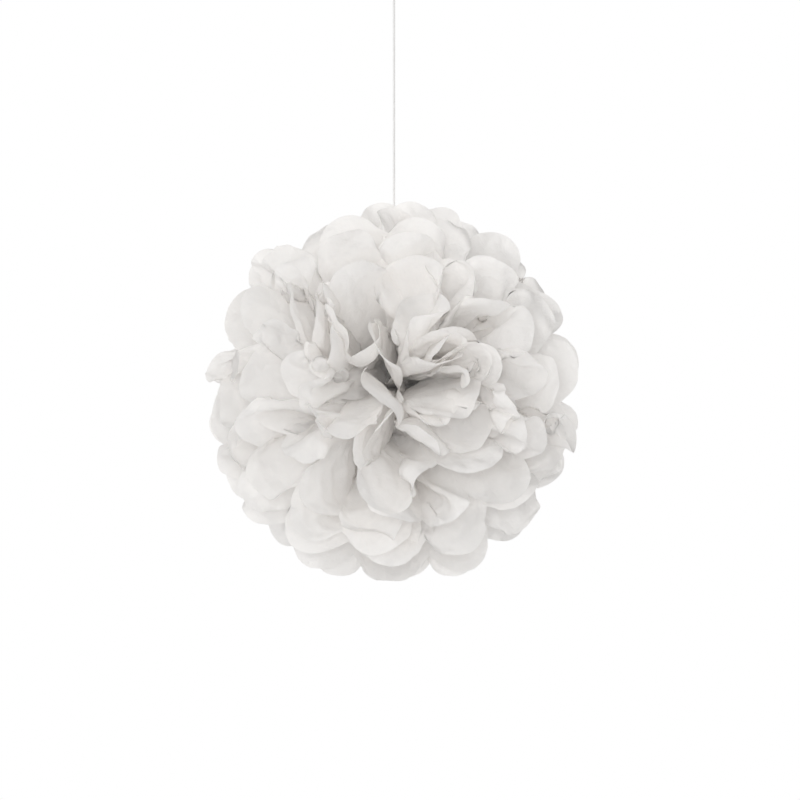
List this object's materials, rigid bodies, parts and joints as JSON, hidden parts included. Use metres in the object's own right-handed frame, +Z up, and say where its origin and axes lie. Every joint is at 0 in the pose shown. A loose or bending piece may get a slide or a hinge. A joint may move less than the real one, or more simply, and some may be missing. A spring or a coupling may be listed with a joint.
{
  "type": "tissue paper pom-pom",
  "caption": "Hanging tissue paper pom-pom: pleated tissue sheets tied at the middle with wire, cut round at the ends and opened into a ball on a thread.",
  "frame": {"origin": "middle of the tied neck, which is the centre of the ball", "axes": "+Z up along the hanging thread; -Y towards the open front face of the flower; the pleated strip's two halves fan out to +X and -X"},
  "size_m": [0.3948, 0.4042, 0.6476],
  "materials": {
    "tissue_paper": "matt uncoated white tissue, slightly translucent",
    "tie_wire": "thin galvanised binding wire",
    "cotton_thread": "matt twisted cotton"
  },
  "bodies": {
    "root": {"tissue_sheet_01": "tissue_paper", "tissue_sheet_02": "tissue_paper", "tissue_sheet_03": "tissue_paper", "tissue_sheet_04": "tissue_paper", "tissue_sheet_05": "tissue_paper", "tissue_sheet_06": "tissue_paper", "tissue_sheet_07": "tissue_paper", "tissue_sheet_08": "tissue_paper", "tissue_sheet_09": "tissue_paper", "tissue_sheet_10": "tissue_paper", "binding_wire": "tie_wire", "hanging_thread": "cotton_thread"}
  },
  "joints": []
}
